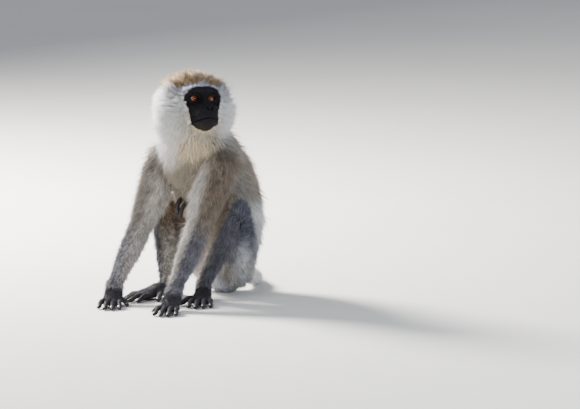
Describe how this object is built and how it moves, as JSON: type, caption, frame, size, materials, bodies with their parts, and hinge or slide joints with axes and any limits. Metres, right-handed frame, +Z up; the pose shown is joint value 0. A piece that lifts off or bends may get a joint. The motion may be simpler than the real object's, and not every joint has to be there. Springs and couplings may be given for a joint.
{
  "type": "vervet monkey",
  "caption": "Life-size still model of a sitting vervet monkey, upright with both hands on the ground, head turned aside and long tail laid on the floor.",
  "frame": {"origin": "the middle of the flat under the rump, at floor level", "axes": "+Z up; the body faces -Y; the animal's left side is +X"},
  "size_m": [0.3718, 0.4824, 0.3255],
  "materials": {
    "pale_coat": "soft pale fur",
    "grey_coat": "grizzled grey-brown fur",
    "dark_coat": "dark grey skin with thin short fur",
    "tail_coat": "short grey fur",
    "dark_skin": "bare near-black skin, slightly sheened",
    "eye": "wet orange-brown eye"
  },
  "bodies": {
    "root": {"head": "pale_coat", "face": "dark_skin", "lower_jaw": "dark_skin", "eye_left": "eye", "ear_left": "dark_skin", "eye_right": "eye", "ear_right": "dark_skin", "neck": "pale_coat", "chest": "grey_coat", "abdomen": "grey_coat", "nipple_left": "dark_skin", "nipple_right": "dark_skin", "upper_arm_left": "grey_coat", "forearm_left": "grey_coat", "hand_left": "dark_coat", "thigh_left": "grey_coat", "shin_left": "grey_coat", "foot_left": "dark_coat", "upper_arm_right": "grey_coat", "forearm_right": "grey_coat", "hand_right": "dark_coat", "thigh_right": "grey_coat", "shin_right": "grey_coat", "foot_right": "dark_coat", "tail_1": "tail_coat", "tail_2": "tail_coat", "tail_3": "tail_coat", "tail_4": "tail_coat", "tail_5": "tail_coat", "tail_6": "tail_coat", "tail_7": "dark_coat"}
  },
  "joints": []
}
